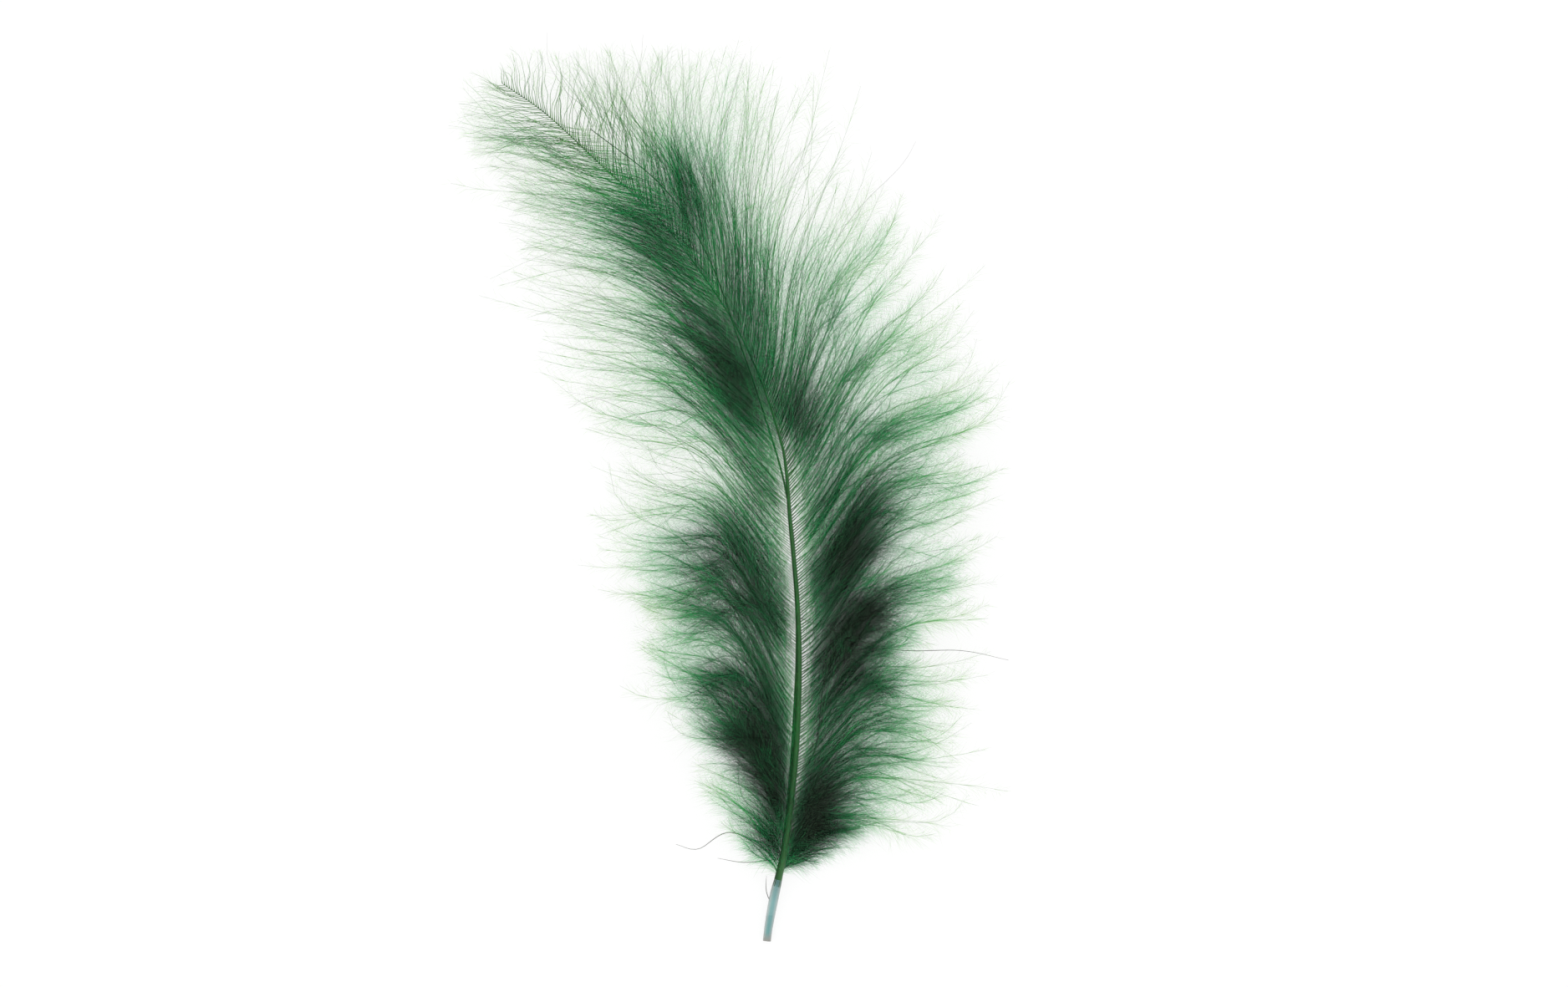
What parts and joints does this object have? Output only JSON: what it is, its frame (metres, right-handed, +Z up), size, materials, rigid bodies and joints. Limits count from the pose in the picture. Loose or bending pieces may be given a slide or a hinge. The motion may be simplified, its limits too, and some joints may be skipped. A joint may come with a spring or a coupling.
{
  "type": "marabou feather",
  "caption": "Soft green dyed down feather lying flat: bare quill, long bent shaft with a second thinner shaft beside it, and fluffy pointed locks of down on both sides.",
  "frame": {"origin": "middle of the feather's outer box seen from above, on the surface that it lies on", "axes": "+Y from the quill's cut end towards the feather's tip, +Z up from the surface, +X to the right with the tip away from the viewer"},
  "size_m": [0.0876, 0.1414, 0.0087],
  "materials": {
    "down": "soft dyed down, dark green where it lies thick and pale green where it lies thin",
    "shaft": "smooth satin horn, dyed green",
    "quill": "hollow translucent horn, pale blue-green with whitish edges"
  },
  "bodies": {
    "root": {"feather": "down"}
  },
  "joints": []
}
